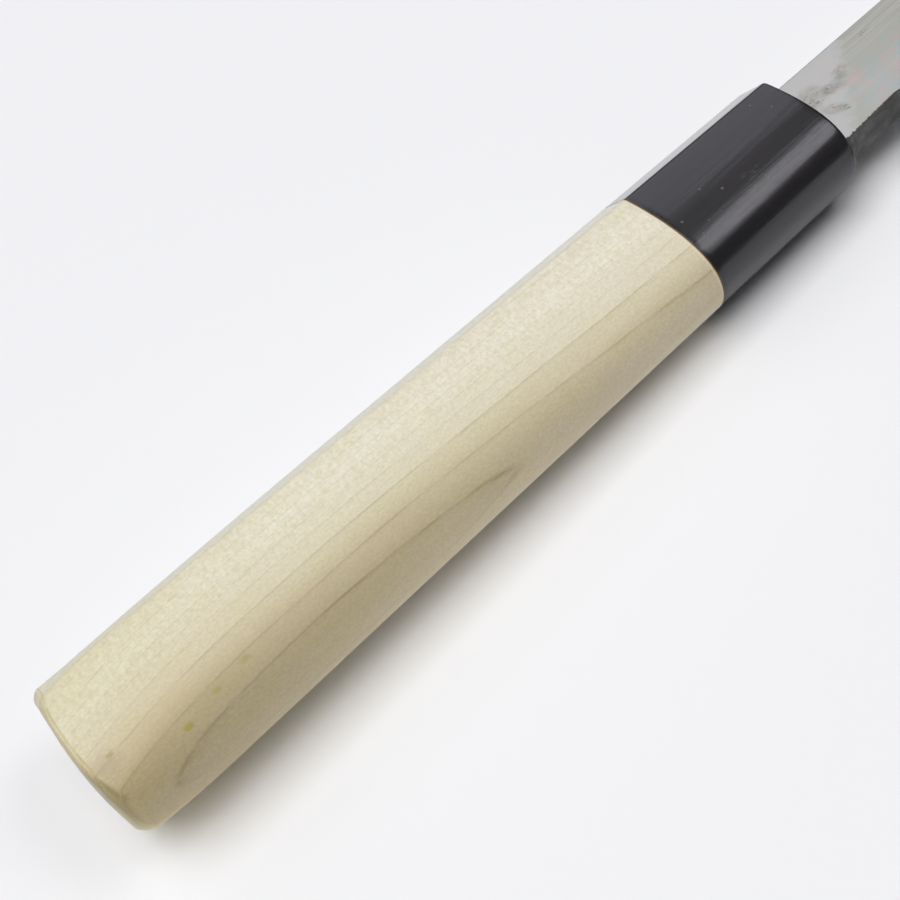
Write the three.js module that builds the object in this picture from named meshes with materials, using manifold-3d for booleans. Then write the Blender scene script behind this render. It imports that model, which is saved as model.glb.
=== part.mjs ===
// Usuba: a single-bevel vegetable knife with a wooden wa-handle, lying on its back face on a table.
// Millimetres. +X runs towards the tip, +Y towards the spine and +Z up through the bevelled face.
// The knife is drawn level, with x = 0 at the front face of the ferrule, and then laid down.
import * as THREE from "three";
import { mergeVertices } from "three/addons/utils/BufferGeometryUtils.js";
import Module from "manifold-3d";

const wasm = await Module();
wasm.setup();
const { lerp } = THREE.MathUtils;

// Handle: lengths, and the D section at the ferrule's front and at the butt.
// Height is measured from edge side to spine side, ridge and back from the widest level of the section.
const WOOD_LENGTH = 105;
const FERRULE_LENGTH = 28;
const FRONT_HEIGHT = 21.2;
const FRONT_RIDGE = 8.2;
const FRONT_BACK = 9;
const BUTT_HEIGHT = 26.4;
const BUTT_RIDGE = 8.2;
const BUTT_BACK = 9.9;
const BUTT_RISE = 0.95;
const RIDGE_SETBACK = 5.65;
const FACET_RUN = 5.4;
const FACET_DROP = 4.45;
const CROWN_REACH = 8.9;
const EDGE_FULLNESS = 5.9;
const BUTT_ROUND_LENGTH = 1.4;
const BUTT_ROUND_WIDTH = 3;
const FERRULE_ROUND = 0.5;

// Tenon of the handle inside the ferrule
const FERRULE_WALL = 8;
const TENON_HEIGHT = 15.5;
const TENON_THICKNESS = 11.5;
const TENON_CLEARANCE = 0.3;
const JOINT_GAP = 0.05;

// Blade and neck
const BLADE_LENGTH = 180;
const BLADE_HEIGHT = 46;
const HEEL_THICKNESS = 5.2;
const TIP_THICKNESS = 3.2;
const BACK_LEVEL = -3.2;
const BEVEL_WIDTH = 21;
const EDGE_LAND = 0.2;
const TIP_CORNER_RADIUS = 2.5;
const NECK_LENGTH = 15;
const NECK_SPINE = 7.85;
const NECK_HEIGHT = 15.9;
const NECK_NARROWING = 0.65;
const NECK_THICKNESS = 4.3;
const CHOIL_RADIUS = 3;
const SHOULDER_GAP = 0.1;

// Hard steel plate on the back of the blade, with its hollow grind
const STEEL_THICKNESS = 1.4;
const WELD_GAP = 0.05;
const HOLLOW_DEPTH = 0.4;
const HOLLOW_RIM = 3;
const HOLLOW_END = 7;

// Tang, measured back from the ferrule's front face
const TANG_LENGTH = 98;
const TANG_ROOT_HEIGHT = 11;
const TANG_ROOT_THICKNESS = 3.6;
const TANG_END_HEIGHT = 5.5;
const TANG_END_THICKNESS = 2.4;
const TANG_CLEARANCE = 0.3;

// How finely curves are stepped, and how far a cutting body runs past what it cuts
const CROWN_STEPS = 14;
const QUARTER_STEPS = 10;
const CORNER_STEPS = 4;
const ROUND_STEPS = 4;
const HOLLOW_STEPS = 14;
const TENON_STEPS = 32;
const HANDLE_RINGS = 6;
const OVERCUT = 2;
const FAR = 30;

// Places that follow from the sizes
const handleLength = WOOD_LENGTH + FERRULE_LENGTH;
const tipX = NECK_LENGTH + BLADE_LENGTH;
const edgeY = NECK_SPINE - BLADE_HEIGHT;
const bevelTopY = edgeY + BEVEL_WIDTH;
const weldLevel = BACK_LEVEL + STEEL_THICKNESS;
const neckUndersideY = NECK_SPINE - NECK_HEIGHT;
const neckCentreY = NECK_SPINE - NECK_HEIGHT / 2;
const neckTop = faceLevel(0);
const neckBottom = neckTop - NECK_THICKNESS;
const neckCentreZ = (neckTop + neckBottom) / 2;

// Level of the flat upper face, which thins evenly from heel to tip.
function faceLevel(x) {
  const thinning = (HEEL_THICKNESS - TIP_THICKNESS) / BLADE_LENGTH;
  return BACK_LEVEL + HEEL_THICKNESS - thinning * (x - NECK_LENGTH);
}

// One ring of the handle's D section in the plane x, drawn in by inset all round.
function handleRing(x, inset = 0) {
  const share = -x / handleLength;
  const height = lerp(FRONT_HEIGHT, BUTT_HEIGHT, share) - 2 * inset;
  const ridge = lerp(FRONT_RIDGE, BUTT_RIDGE, share) - inset;
  const back = lerp(FRONT_BACK, BUTT_BACK, share) - inset;
  const centre = BUTT_RISE * share;
  const edge = centre - height / 2;
  const spine = centre + height / 2;
  const ridgeY = spine - RIDGE_SETBACK;
  const facetFoot = new THREE.Vector2(ridgeY + FACET_RUN, ridge - FACET_DROP);
  const facetReach = spine - facetFoot.x;
  const facetEnd = new THREE.Vector2(spine, facetFoot.y - (facetReach * FACET_DROP) / FACET_RUN);
  const crown = new THREE.CubicBezierCurve(
    new THREE.Vector2(ridgeY, ridge),
    new THREE.Vector2(ridgeY - CROWN_REACH, ridge),
    new THREE.Vector2(edge, EDGE_FULLNESS),
    new THREE.Vector2(edge, 0),
  );
  const edgeQuarter = new THREE.EllipseCurve(centre, 0, height / 2, back, Math.PI, 1.5 * Math.PI);
  const spineQuarter = new THREE.EllipseCurve(centre, 0, height / 2, back, 1.5 * Math.PI, 2 * Math.PI);
  const corner = new THREE.QuadraticBezierCurve(new THREE.Vector2(spine, 0), facetEnd, facetFoot);
  const outline = [
    ...crown.getPoints(CROWN_STEPS).slice(0, -1),
    ...edgeQuarter.getPoints(QUARTER_STEPS).slice(0, -1),
    ...spineQuarter.getPoints(QUARTER_STEPS).slice(0, -1),
    ...corner.getPoints(CORNER_STEPS),
  ];
  return outline.map((p) => new THREE.Vector3(x, p.x, p.y));
}

// A ring of the oval tenon, grown by a clearance.
function tenonRing(x, clearance = 0) {
  const oval = new THREE.EllipseCurve(0, 0, TENON_HEIGHT / 2 + clearance, TENON_THICKNESS / 2 + clearance);
  return oval
    .getPoints(TENON_STEPS)
    .slice(0, -1)
    .map((p) => new THREE.Vector3(x, p.x, p.y));
}

// A rectangular ring of the tapered tang, grown by a clearance.
function tangRing(x, clearance = 0) {
  const share = -x / TANG_LENGTH;
  const y = lerp(TANG_ROOT_HEIGHT, TANG_END_HEIGHT, share) / 2 + clearance;
  const z = lerp(TANG_ROOT_THICKNESS, TANG_END_THICKNESS, share) / 2 + clearance;
  return rectangleRing(x, neckCentreY - y, neckCentreY + y, neckCentreZ - z, neckCentreZ + z);
}

function rectangleRing(x, y0, y1, z0, z1) {
  return [
    new THREE.Vector3(x, y1, z1),
    new THREE.Vector3(x, y0, z1),
    new THREE.Vector3(x, y0, z0),
    new THREE.Vector3(x, y1, z0),
  ];
}

// Closed skin through rings of equal count, ordered by rising x, with a fan over each end.
function loft(rings) {
  const count = rings[0].length;
  const points = rings.flat();
  const faces = [];
  const next = (j) => (j + 1) % count;
  for (let i = 0; i + 1 < rings.length; i++) {
    for (let j = 0; j < count; j++) {
      const near = i * count;
      const far = near + count;
      faces.push(near + j, near + next(j), far + j);
      faces.push(near + next(j), far + next(j), far + j);
    }
  }
  const last = (rings.length - 1) * count;
  const centres = [rings[0], rings.at(-1)].map((ring) => {
    const sum = ring.reduce((total, p) => total.add(p), new THREE.Vector3());
    return points.push(sum.divideScalar(count)) - 1;
  });
  for (let j = 0; j < count; j++) {
    faces.push(centres[0], next(j), j);
    faces.push(centres[1], last + j, last + next(j));
  }
  const geometry = new THREE.BufferGeometry().setFromPoints(points);
  return solid(geometry.setIndex(faces));
}

// Straight body of a flat outline in X and Y between two levels.
function plate(outline, z0, z1) {
  const geometry = new THREE.ExtrudeGeometry(outline, { depth: z1 - z0, bevelEnabled: false });
  return solid(geometry.translate(0, 0, z0));
}

// Straight body of a side outline in X and Z, right across the knife.
function across(points) {
  const outline = new THREE.Shape(points.map(([x, z]) => new THREE.Vector2(x, z)));
  const depth = 2 * (BLADE_HEIGHT + FAR);
  const geometry = new THREE.ExtrudeGeometry(outline, { depth, bevelEnabled: false });
  return solid(geometry.rotateX(Math.PI / 2).translate(0, depth / 2, 0));
}

function solid(geometry) {
  geometry.deleteAttribute("normal");
  geometry.deleteAttribute("uv");
  const merged = mergeVertices(geometry);
  const vertProperties = merged.attributes.position.array;
  const triVerts = new Uint32Array(merged.index.array);
  return new wasm.Manifold(new wasm.Mesh({ numProp: 3, vertProperties, triVerts }));
}

function piece(name, body, material) {
  const { vertProperties, triVerts } = body.getMesh();
  const geometry = new THREE.BufferGeometry();
  geometry.setAttribute("position", new THREE.BufferAttribute(vertProperties, 3));
  geometry.setIndex(new THREE.BufferAttribute(triVerts, 1));
  geometry.computeVertexNormals();
  const mesh = new THREE.Mesh(geometry, material);
  mesh.name = name;
  return mesh;
}

// The tip end of the blade's outline: square, with a rounded corner at the spine.
function drawTip(outline) {
  outline.lineTo(tipX, edgeY);
  outline.lineTo(tipX, NECK_SPINE - TIP_CORNER_RADIUS);
  const corner = [tipX - TIP_CORNER_RADIUS, NECK_SPINE - TIP_CORNER_RADIUS];
  outline.absarc(...corner, TIP_CORNER_RADIUS, 0, Math.PI / 2, false);
}

// The single bevel, cut away from the shinogi line down to the edge.
function bevelCut() {
  const ring = (x) => [
    new THREE.Vector3(x, bevelTopY, FAR),
    new THREE.Vector3(x, edgeY - OVERCUT, FAR),
    new THREE.Vector3(x, edgeY - OVERCUT, BACK_LEVEL + EDGE_LAND),
    new THREE.Vector3(x, edgeY, BACK_LEVEL + EDGE_LAND),
    new THREE.Vector3(x, bevelTopY, faceLevel(x)),
  ];
  return loft([ring(NECK_LENGTH - OVERCUT), ring(tipX + OVERCUT)]);
}

// Soft iron body with the neck and the tang.
function bladeBody() {
  const outline = new THREE.Shape();
  const choilY = neckUndersideY + NECK_NARROWING;
  const choil = [NECK_LENGTH - CHOIL_RADIUS, choilY - CHOIL_RADIUS];
  outline.moveTo(SHOULDER_GAP, NECK_SPINE);
  outline.lineTo(SHOULDER_GAP, neckUndersideY);
  outline.absarc(...choil, CHOIL_RADIUS, Math.PI / 2, 0, true);
  outline.lineTo(NECK_LENGTH, edgeY);
  drawTip(outline);
  const aboveFace = across([
    [-OVERCUT, faceLevel(-OVERCUT)],
    [tipX + OVERCUT, faceLevel(tipX + OVERCUT)],
    [tipX + OVERCUT, FAR],
    [-OVERCUT, FAR],
  ]);
  const belowIron = across([
    [-OVERCUT, -FAR],
    [tipX + OVERCUT, -FAR],
    [tipX + OVERCUT, weldLevel],
    [NECK_LENGTH, weldLevel],
    [NECK_LENGTH, BACK_LEVEL],
    [0, neckBottom],
    [-OVERCUT, neckBottom],
  ]);
  const tang = loft([tangRing(-TANG_LENGTH), tangRing(OVERCUT)]);
  return plate(outline, -FAR, FAR).subtract(aboveFace).subtract(belowIron).subtract(bevelCut()).add(tang);
}

// Hard steel plate under the iron, hollow ground between its rims.
function cuttingSteel() {
  const outline = new THREE.Shape();
  outline.moveTo(NECK_LENGTH + WELD_GAP, NECK_SPINE);
  outline.lineTo(NECK_LENGTH + WELD_GAP, edgeY);
  drawTip(outline);
  const half = BLADE_HEIGHT / 2 - HOLLOW_RIM;
  const radius = (half * half) / (2 * HOLLOW_DEPTH) + HOLLOW_DEPTH / 2;
  const spread = Math.asin(half / radius);
  const arc = new THREE.EllipseCurve(
    (NECK_SPINE + edgeY) / 2,
    BACK_LEVEL + HOLLOW_DEPTH - radius,
    radius,
    radius,
    Math.PI / 2 - spread,
    Math.PI / 2 + spread,
  );
  const ring = (x) => {
    const points = arc.getPoints(HOLLOW_STEPS).map((p) => new THREE.Vector3(x, p.x, p.y));
    const below = [points.at(-1), points[0]].map((p) => p.clone().setZ(BACK_LEVEL - OVERCUT));
    return [...points, ...below];
  };
  const hollow = loft([ring(NECK_LENGTH + HOLLOW_END), ring(tipX - HOLLOW_END)]);
  return plate(outline, BACK_LEVEL, weldLevel - WELD_GAP).subtract(bevelCut()).subtract(hollow);
}

// Space that the tang takes up inside the handle.
function tangSpace() {
  const end = tangRing(-TANG_LENGTH - TANG_CLEARANCE, TANG_CLEARANCE);
  return loft([end, tangRing(OVERCUT, TANG_CLEARANCE)]);
}

// Wooden handle with a rounded butt, its tenon and the tang's bore.
function woodHandle() {
  const rings = [];
  for (let i = ROUND_STEPS; i >= 0; i--) {
    const angle = ((Math.PI / 2) * i) / ROUND_STEPS;
    const x = -handleLength + BUTT_ROUND_LENGTH * (1 - Math.sin(angle));
    rings.push(handleRing(x, BUTT_ROUND_WIDTH * (1 - Math.cos(angle))));
  }
  const start = -handleLength + BUTT_ROUND_LENGTH;
  for (let i = 1; i <= HANDLE_RINGS; i++) {
    rings.push(handleRing(lerp(start, -FERRULE_LENGTH - JOINT_GAP, i / HANDLE_RINGS)));
  }
  const tenon = loft([
    tenonRing(-FERRULE_LENGTH - OVERCUT),
    tenonRing(-FERRULE_WALL - TENON_CLEARANCE),
  ]);
  return loft(rings).add(tenon).subtract(tangSpace());
}

// Horn collar, flush with the wood, socketed over the tenon and slotted for the tang.
function hornFerrule() {
  const collar = loft([
    handleRing(-FERRULE_LENGTH),
    handleRing(-FERRULE_ROUND),
    handleRing(0, FERRULE_ROUND),
  ]);
  const socket = loft([
    tenonRing(-FERRULE_LENGTH - OVERCUT, TENON_CLEARANCE),
    tenonRing(-FERRULE_WALL, TENON_CLEARANCE),
  ]);
  return collar.subtract(socket).subtract(tangSpace());
}

const iron = new THREE.MeshStandardMaterial({ color: 0xb9b7b3, roughness: 0.35, metalness: 1 });
const steel = new THREE.MeshStandardMaterial({ color: 0xc9c9ca, roughness: 0.22, metalness: 1 });
const wood = new THREE.MeshStandardMaterial({ color: 0xd9cfae, roughness: 0.7, metalness: 0 });
const horn = new THREE.MeshStandardMaterial({ color: 0x242428, roughness: 0.25, metalness: 0 });

const knife = new THREE.Group();
knife.add(piece("blade_body", bladeBody(), iron));
knife.add(piece("cutting_steel", cuttingSteel(), steel));
knife.add(piece("wood_handle", woodHandle(), wood));
knife.add(piece("horn_ferrule", hornFerrule(), horn));

// The blade outweighs the handle, so the knife lies nose down, on the ferrule's lower lip and the tip's back.
const lipX = -FERRULE_ROUND;
const lipZ = -lerp(FRONT_BACK, BUTT_BACK, -lipX / handleLength);
knife.rotation.y = Math.atan2(BACK_LEVEL - lipZ, tipX - lipX);

// The origin is on the table, under the middle of the knife.
const box = new THREE.Box3().setFromObject(knife, true);
const middle = box.getCenter(new THREE.Vector3());
knife.position.set(-middle.x, -middle.y, -box.min.z);

const part = new THREE.Group();
part.add(knife);

export default part;
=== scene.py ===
"""Looks of a usuba knife: pale wood handle, black horn ferrule, single-bevel blade with forge scale.

Shapes are drawn in millimetres with the knife level, x = 0 at the front of the ferrule, +X towards the
tip, +Y towards the spine and +Z up through the bevelled face. They are then laid down into the frame.
"""

import math

import bmesh
import bpy
import numpy as np
from mathutils import Matrix, Vector


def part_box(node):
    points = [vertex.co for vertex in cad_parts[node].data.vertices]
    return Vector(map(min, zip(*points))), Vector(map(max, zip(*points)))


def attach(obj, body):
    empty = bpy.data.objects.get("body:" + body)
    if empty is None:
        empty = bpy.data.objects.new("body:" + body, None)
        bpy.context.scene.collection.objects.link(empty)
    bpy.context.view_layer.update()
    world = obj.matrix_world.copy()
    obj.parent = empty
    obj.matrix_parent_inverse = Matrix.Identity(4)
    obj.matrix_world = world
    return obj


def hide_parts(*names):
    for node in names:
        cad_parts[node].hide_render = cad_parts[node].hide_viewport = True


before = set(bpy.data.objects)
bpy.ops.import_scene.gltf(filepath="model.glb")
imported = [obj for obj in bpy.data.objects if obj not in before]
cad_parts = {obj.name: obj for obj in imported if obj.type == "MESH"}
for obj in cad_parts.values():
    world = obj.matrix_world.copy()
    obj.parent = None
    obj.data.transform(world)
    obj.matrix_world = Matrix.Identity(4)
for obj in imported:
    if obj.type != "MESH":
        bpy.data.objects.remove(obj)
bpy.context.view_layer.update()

MM = 0.001

# Handle: its D section at the ferrule's front and at the butt
HANDLE_LENGTH = 133.0
FERRULE_LENGTH = 28.0
FRONT_HEIGHT, BUTT_HEIGHT = 21.2, 26.4
FRONT_BACK, BUTT_BACK = 9.0, 9.9
BUTT_RISE = 0.95
RIDGE_LEVEL, RIDGE_SETBACK, RIDGE_EASE = 8.2, 5.65, 0.45
CROWN_REACH = 8.9
EDGE_FULLNESS = 5.9
FACET_RUN, FACET_DROP = 5.4, 4.45
# The facet steepens towards the butt: from where along the handle, to where, and its further drop there
STEEP_FROM, STEEP_FULL, STEEP_DROP = 85.0, 127.0, 0.65
# Points on the crown's curve, and on the parts of the section that is drawn
CURVE_STEPS = 61
CROWN_STEPS, QUARTER_STEPS, CORNER_STEPS, FACET_STEPS, RIDGE_STEPS = 56, 27, 11, 9, 8

# Butt: a domed end with a rounded rim, rounder still at its low corner and at the ridge
BUTT_CHAMFER = 0.91
BUTT_DOME, BUTT_DOME_RATE, BUTT_DOME_FADE = 1.48, 0.0228, 14.0
BUTT_DOME_MIDDLE, BUTT_DOME_FLATNESS = -3.0, 0.58
BUTT_EASE_LENGTH, BUTT_EASE, SPINE_EASE = 16.0, 0.6, 0.04
BUTT_CORNER, BUTT_CORNER_TOP, BUTT_CORNER_SPAN = 1.75, -5.55, 4.3
BUTT_RIDGE_ROUND, BUTT_RIDGE_FROM, BUTT_RIDGE_SPAN = 1.55, (3.5, -2.0), 6.0
RIM_FIRST, RIM_LAST, RIM_RINGS = math.radians(80), math.radians(16), 11
# Rings on the flat of the end, as shares of its size, and along the handle's side
END_FIRST, END_LAST, END_RINGS = 0.05, 0.95, 12
BODY_RINGS = 106

# Ferrule and its joint with the wood
FERRULE_ROUND, ROUND_RINGS = 0.5, 6
FERRULE_RINGS = 30
REAR_EASE, REAR_INSET = 0.03, 0.015
JOINT_EASE, JOINT_INSET = 0.12, 0.048
JOINT_GAP = 0.05

# Tenon inside the ferrule, and the tang in its bore
FERRULE_WALL = 8.0
TENON_HEIGHT, TENON_THICKNESS = 15.5, 11.5
FIT_CLEARANCE = 0.3
TANG_LENGTH = 98.0
TANG_ROOT, TANG_END, TANG_EASE = (11.0, 3.6), (5.5, 2.4), 0.2
# Powers of the rounded and of the boxy hole
OVAL, BOXY = 2, 8

# Blade and neck
BLADE_LENGTH = 180.0
BLADE_HEIGHT = 46.0
HEEL_THICKNESS, TIP_THICKNESS = 5.2, 3.2
BACK_LEVEL = -3.2
BEVEL_WIDTH = 21.0
EDGE_LAND, EDGE_FLAT = 0.2, 0.05
TIP_CORNER_RADIUS, TIP_RINGS, TIP_INSET = 2.5, 7, 0.09
NECK_LENGTH = 15.0
NECK_SPINE = 7.85
NECK_HEIGHT = 15.9
NECK_NARROWING = 0.65
NECK_THICKNESS = 4.3
NECK_START, NECK_RINGS = 0.25, 66
CHOIL_RADIUS, CHOIL_RINGS = 3.0, 9
SHOULDER_GAP = 0.1
HEEL_STEP, BLADE_RINGS = 0.002, 46
# Easing of the iron's corners: below the spine, at the spine, at the lower edge and below it
IRON_EASES = (0.18, 0.252, 0.108, 0.054)
BURR, BURR_WAVES = 0.11, ((5.3, 0.0), (9.1, 1.3))
# Faces of the neck that look down towards the edge keep their forge scale
SCALE_FACING, SCALE_MARGIN = -0.55, 0.01

# Hard steel plate, hollow across its back
STEEL_THICKNESS = 1.4
STEEL_INSET, STEEL_EASE = 0.072, 0.09
STEEL_RINGS, BACK_POINTS = 90, 60
WELD_GAP = 0.05
HOLLOW_DEPTH, HOLLOW_RIM = 0.4, 3.0
HOLLOW_END, HOLLOW_RUNOUT = 7.0, 14.0

# Inset that keeps the outermost points inside the part's box
HAIR = 0.0002

TIP_X = NECK_LENGTH + BLADE_LENGTH
EDGE_Y = NECK_SPINE - BLADE_HEIGHT
BEVEL_TOP_Y = EDGE_Y + BEVEL_WIDTH
WELD_LEVEL = BACK_LEVEL + STEEL_THICKNESS
NECK_UNDERSIDE = NECK_SPINE - NECK_HEIGHT
CHOIL_X = NECK_LENGTH - CHOIL_RADIUS
CHOIL_Y = NECK_UNDERSIDE + NECK_NARROWING - CHOIL_RADIUS
JOINT_X = -FERRULE_LENGTH - JOINT_GAP
# Line of the handle's ridge: its y at x = 0, and the direction that measures the distance past it
RIDGE_Y = FRONT_HEIGHT / 2 - RIDGE_SETBACK
RIDGE_WAY = (((BUTT_HEIGHT - FRONT_HEIGHT) / 2 + BUTT_RISE) / HANDLE_LENGTH, 1, 0)

# Rounding of an outline's corners: points, longest easing and flat run as shares of a side, flat run
ROUND_STEPS = 5
EASE_SHARE, FLAT_SHARE, FLAT_REACH = 0.40, 0.48, 1.6
SMOOTH_ANGLE = math.radians(30)

# Camera in the frame, metres
CAMERA_PLACE = (-0.158131, -0.138081, 0.186011)
CAMERA_FORWARD = (0.24135, 0.63179, -0.73661)
CAMERA_RIGHT = (0.70973, -0.63258, -0.31003)
CAMERA_LENS, SENSOR_WIDTH = 71.3212, 36.0
CAMERA_CLIP = (0.01, 20.0)


def face_level(x):
    """Level of the flat upper face, which thins evenly from heel to tip."""
    slope = (HEEL_THICKNESS - TIP_THICKNESS) / BLADE_LENGTH
    return BACK_LEVEL + HEEL_THICKNESS - slope * (x - NECK_LENGTH)


NECK_BOTTOM = face_level(0) - NECK_THICKNESS
TANG_CENTRE = (NECK_SPINE - NECK_HEIGHT / 2, face_level(0) - NECK_THICKNESS / 2)


def lie_matrix():
    """Lays the level knife down on its ferrule and tip, where the frame has it."""
    lip_x = -FERRULE_ROUND
    lip_z = lip_x / HANDLE_LENGTH * (BUTT_BACK - FRONT_BACK) - FRONT_BACK
    pitch = math.atan2(BACK_LEVEL - lip_z, TIP_X - lip_x)
    turn = Matrix.Rotation(pitch, 4, "Y")
    lip, tip = turn @ Vector((lip_x, 0, lip_z)), turn @ Vector((TIP_X, 0, face_level(TIP_X)))
    blade_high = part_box("blade_body")[1] / MM
    ferrule_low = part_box("horn_ferrule")[0] / MM
    place = Vector((blade_high.x - tip.x, blade_high.y - NECK_SPINE, ferrule_low.z - lip.z + HAIR))
    return Matrix.Translation(place) @ turn


# From the level knife in millimetres to the frame in metres, and back
LIE = Matrix.Scale(MM, 4) @ lie_matrix()
LEVEL = LIE.inverted()


# Mesh helpers

def bezier(points, count):
    """Points on a quadratic or cubic curve, both ends included."""
    t = np.linspace(0, 1, count)[:, None]
    points = [np.asarray(point, float) for point in points]
    while len(points) > 1:
        points = [a * (1 - t) + b * t for a, b in zip(points, points[1:])]
    return points[0]


def smooth_step(share):
    share = np.clip(share, 0, 1)
    return share * share * (3 - 2 * share)


def quarter(centre, half, depth, start):
    """Quarter of an ellipse in the section, from the angle start on."""
    angle = start + np.linspace(0, math.pi / 2, QUARTER_STEPS)
    return np.c_[centre + half * np.cos(angle), depth * np.sin(angle)]


def handle_section(x, inset=0.0):
    """Closed outline (y, z) of the handle at x, from the ridge over the crown and round the back."""
    share = -x / HANDLE_LENGTH
    near_butt = max(0.0, 1 - (x + HANDLE_LENGTH) / BUTT_EASE_LENGTH) ** 2
    eased = inset + BUTT_EASE * near_butt
    half = np.interp(share, (0, 1), (FRONT_HEIGHT, BUTT_HEIGHT)) / 2
    back = np.interp(share, (0, 1), (FRONT_BACK, BUTT_BACK)) - eased
    centre = BUTT_RISE * share
    edge, spine = centre - half + eased, centre + half - inset - SPINE_EASE * near_butt
    steep = np.clip((-x - STEEP_FROM) / (STEEP_FULL - STEEP_FROM), 0, 1) ** 2
    drop = FACET_DROP + STEEP_DROP * steep
    top = np.array((centre + half - eased - RIDGE_SETBACK, RIDGE_LEVEL - eased))
    foot = np.array((spine - RIDGE_SETBACK + FACET_RUN, RIDGE_LEVEL - inset - drop))
    corner = (spine, foot[1] - (spine - foot[0]) * drop / FACET_RUN)
    curve = bezier((top, top - (CROWN_REACH, 0), (edge, EDGE_FULLNESS), (edge, 0)), CURVE_STEPS)
    run = np.r_[0, np.cumsum(np.hypot(*np.diff(curve, axis=0).T))]
    stations = np.linspace(RIDGE_EASE, run[-1], CROWN_STEPS)
    crown = np.stack([np.interp(stations, run, c) for c in curve.T], axis=1)
    facet_end = top + (foot - top) * RIDGE_EASE / np.linalg.norm(foot - top)
    return np.concatenate((
        crown[:-1],
        quarter(centre, centre - edge, back, math.pi)[:-1],
        quarter(centre, spine - centre, back, 1.5 * math.pi)[:-1],
        bezier(((spine, 0), corner, foot), CORNER_STEPS)[:-1],
        np.linspace(foot, facet_end, FACET_STEPS)[:-1],
        bezier((facet_end, top, crown[0]), RIDGE_STEPS)[:-1],
    ))


def ring_at(x, section):
    """Section outline (y, z) as points of the plane x."""
    return np.c_[np.full(len(section), x), section]


def inner_ring(x, outline, centre, half_y, half_z, power):
    """Ring of a smaller oval or boxy hole, its points on the same rays as the outline's."""
    ray = outline - np.array(centre)
    ray = ray / np.linalg.norm(ray, axis=1, keepdims=True)
    reach = (np.abs(ray[:, 0] / half_y) ** power + np.abs(ray[:, 1] / half_z) ** power) ** (-1 / power)
    return ring_at(x, np.array(centre) + ray * reach[:, None])


def tang_size(x, clearance):
    """Half height and half thickness of the tang at x, or with a clearance of its bore."""
    share = -x / TANG_LENGTH
    return [np.interp(share, (0, 1), (a, b)) / 2 + clearance for a, b in zip(TANG_ROOT, TANG_END)]


def loft(rings, closed=False):
    """Vertices and faces of a skin through rings of equal count, with capped ends or closed into a loop."""
    count = len(rings[0])
    verts = np.concatenate(rings)
    faces = []
    spans = len(rings) if closed else len(rings) - 1
    for i in range(spans):
        a, b = i * count, (i + 1) % len(rings) * count
        for j in range(count):
            k = (j + 1) % count
            faces.append((a + j, a + k, b + k, b + j))
    if not closed:
        last = (len(rings) - 1) * count
        faces.append(tuple(reversed(range(count))))
        faces.append(tuple(range(last, last + count)))
    return verts, faces


def rounded(corners, eases):
    """Closed outline with each corner eased over its own distance, all corners giving equal counts.

    A further point beyond each easing keeps the sides between the corners flat in their shading.
    """
    corners = np.array(corners, float)
    out = []
    for before, at, after, ease in zip(np.roll(corners, 1, 0), corners, np.roll(corners, -1, 0), eases):
        sides = [(side - at, max(np.linalg.norm(side - at), 1e-9)) for side in (before, after)]
        start, end = [at + way * min(ease / length, EASE_SHARE) for way, length in sides]
        first, last = [at + way * min(FLAT_REACH * ease / length, FLAT_SHARE) for way, length in sides]
        out += [first[None], bezier((start, at, end), ROUND_STEPS), last[None]]
    return np.concatenate(out)


def fix_normals(mesh):
    """Points every face outwards."""
    bm = bmesh.new()
    bm.from_mesh(mesh)
    bmesh.ops.recalc_face_normals(bm, faces=bm.faces)
    bm.to_mesh(mesh)
    bm.free()


def piece(name, verts, faces, node, slot, materials):
    """Makes a mesh object in the frame that stands for a CAD node and rides on the knife."""
    mesh = bpy.data.meshes.new(name)
    mesh.from_pydata(verts.tolist(), [], faces)
    mesh.transform(LIE)
    mesh.validate()
    for material in materials:
        mesh.materials.append(material)
    obj = bpy.data.objects.new(name, mesh)
    bpy.context.scene.collection.objects.link(obj)
    fix_normals(mesh)
    mesh.polygons.foreach_set("use_smooth", [True] * len(mesh.polygons))
    mesh.set_sharp_from_angle(angle=SMOOTH_ANGLE)
    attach(obj, "root")
    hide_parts(node)
    return obj


# Node helpers

ALONG, ACROSS = (1, 0, 0), (0, 1, 0)
PLAIN = (1, 1, 1)
# Range that most of a noise lies in
NOISE_SPAN = (0.3, 0.7)


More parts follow.
